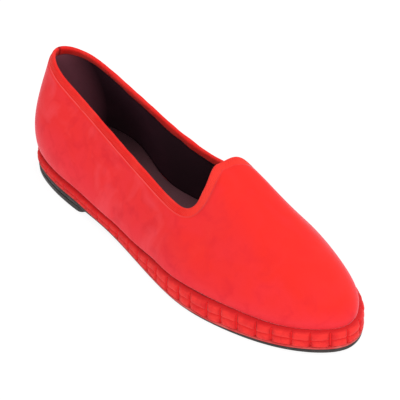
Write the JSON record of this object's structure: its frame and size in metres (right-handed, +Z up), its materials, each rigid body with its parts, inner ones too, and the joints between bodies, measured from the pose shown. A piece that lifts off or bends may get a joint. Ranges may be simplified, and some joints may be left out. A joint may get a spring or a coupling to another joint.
{
  "type": "slipper",
  "caption": "Low round-toed velvet slipper for the right foot, with a ribbon-bound collar, a hand-stitched fabric-sided sole and a thin rubber outsole with a low heel.",
  "frame": {"origin": "centre of the shoe's box, on the ground that it stands on", "axes": "+X from heel to toe, +Y to the inner side of the foot, +Z up"},
  "size_m": [0.2527, 0.08, 0.07],
  "materials": {
    "velvet": "short-pile red cotton velvet with a pink sheen",
    "ribbon": "red ribbed bias ribbon",
    "stitched_band": "red cloth hand-stitched in blocks",
    "rubber": "dark grey-brown matt rubber",
    "leather": "dark burgundy-brown leather",
    "lining": "near-black aubergine cotton",
    "thread": "twisted red thread"
  },
  "bodies": {
    "root": {"heel_lift": "rubber", "outsole": "rubber", "midsole": "stitched_band", "insole": "leather", "upper": "velvet", "collar_binding": "ribbon"}
  },
  "joints": []
}
